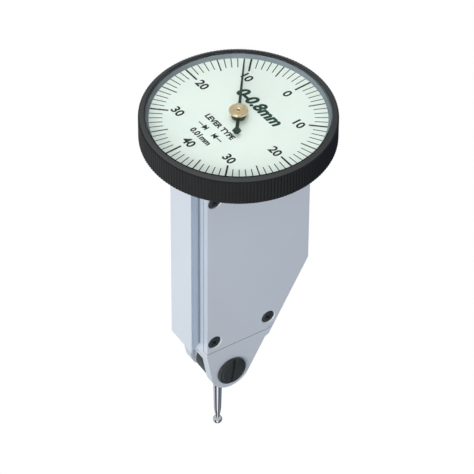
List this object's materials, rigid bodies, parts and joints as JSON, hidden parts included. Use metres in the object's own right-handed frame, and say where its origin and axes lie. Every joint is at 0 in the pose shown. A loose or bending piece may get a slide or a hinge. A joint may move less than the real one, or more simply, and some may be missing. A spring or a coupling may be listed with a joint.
{
  "type": "lever-type dial test indicator",
  "caption": "Upright lever-type dial test indicator with a dovetail rail, knurled turning bezel, geared pointer movement and swivelling ball-tipped stylus.",
  "frame": {"origin": "centre of the dovetail rail's outer face", "axes": "+X from the rail into the body, -Y out of the cover plate, +Z towards the dial"},
  "size_m": [0.0406, 0.0406, 0.0896],
  "materials": {
    "satin_chrome": "satin chrome plate",
    "black_oxide": "black oxide, satin",
    "black_anodised": "black, satin, knurled",
    "grey_ring": "grey, satin",
    "dial_face": "matt pale mint enamel",
    "lens": "clear, polished",
    "rubber_seal": "matt",
    "pointer_green": "dark green, satin",
    "brass_part": "turned",
    "movement_brass": "milled and polished",
    "jewel_red": "polished synthetic ruby",
    "steel_part": "ground",
    "blued_spring": "blued spring steel",
    "bright_chrome": "polished"
  },
  "bodies": {
    "body": {"housing": "satin_chrome", "cover_plate": "satin_chrome", "cover_screws": "black_oxide", "pivot_screws": "black_oxide", "head_plate": "black_anodised", "head_screws": "steel_part", "bezel_o_ring": "rubber_seal", "rear_movement_plate": "movement_brass", "front_movement_plate": "movement_brass", "movement_pillars": "movement_brass", "movement_screws": "steel_part", "frame_screws": "steel_part", "arbor_bridge": "movement_brass", "bridge_screws": "steel_part", "sector_jewels": "jewel_red", "crown_jewels": "jewel_red", "arbor_jewels": "jewel_red", "hairspring": "blued_spring", "hairspring_stud": "steel_part"},
    "bezel": {"bezel_ring": "black_anodised", "snap_wire": "steel_part", "dial_plate": "dial_face", "dial_ring": "grey_ring", "crystal_gasket": "rubber_seal", "crystal": "lens"},
    "pointer_group": {"pointer": "pointer_green", "pointer_boss": "black_oxide", "pointer_hub": "brass_part", "centre_arbor": "steel_part", "centre_pinion": "movement_brass", "hairspring_collet": "movement_brass"},
    "crown_group": {"crown_wheel": "movement_brass", "crown_pinion": "steel_part", "crown_shaft": "steel_part"},
    "sector_group": {"sector_gear": "movement_brass", "sector_shaft": "steel_part"},
    "lever": {"lever_arm": "steel_part", "lever_axle": "steel_part", "lever_pin": "steel_part", "clutch_washers": "steel_part"},
    "stylus": {"stylus_holder": "black_oxide", "stylus_shank": "bright_chrome", "stylus_ball": "bright_chrome"}
  },
  "joints": [
    {"name": "bezel_turn", "type": "hinge", "parent": "body", "child": "bezel", "pos_m": [0.0138, 0, 0.0295], "axis": [0, 0, 1], "continuous": true},
    {"name": "pointer_spin", "type": "hinge", "parent": "body", "child": "pointer_group", "pos_m": [0.0138, 0, 0.031], "axis": [0, 0, 1], "range_deg": [-225, 225], "stiffness_Nm_per_rad": 0.00001},
    {"name": "crown_spin", "type": "hinge", "parent": "body", "child": "crown_group", "pos_m": [0.0138, 0, 0.0152], "axis": [0, 1, 0], "range_deg": [-76, 76]},
    {"name": "sector_swing", "type": "hinge", "parent": "body", "child": "sector_group", "pos_m": [0.0138, 0, 0.002], "axis": [0, 1, 0], "range_deg": [-7.6, 7.6]},
    {"name": "lever_swing", "type": "hinge", "parent": "body", "child": "lever", "pos_m": [0.009, 0, -0.0345], "axis": [0, 1, 0], "range_deg": [-1.45, 1.45]},
    {"name": "stylus_swivel", "type": "hinge", "parent": "lever", "child": "stylus", "pos_m": [0.009, 0, -0.0345], "axis": [0, 1, 0], "range_deg": [-90, 90]}
  ],
  "couplings": [
    {"joint": "crown_spin", "follows": "pointer_spin", "ratio": -0.33333},
    {"joint": "sector_swing", "follows": "pointer_spin", "ratio": 0.033333},
    {"joint": "lever_swing", "follows": "pointer_spin", "ratio": -0.0063492}
  ]
}
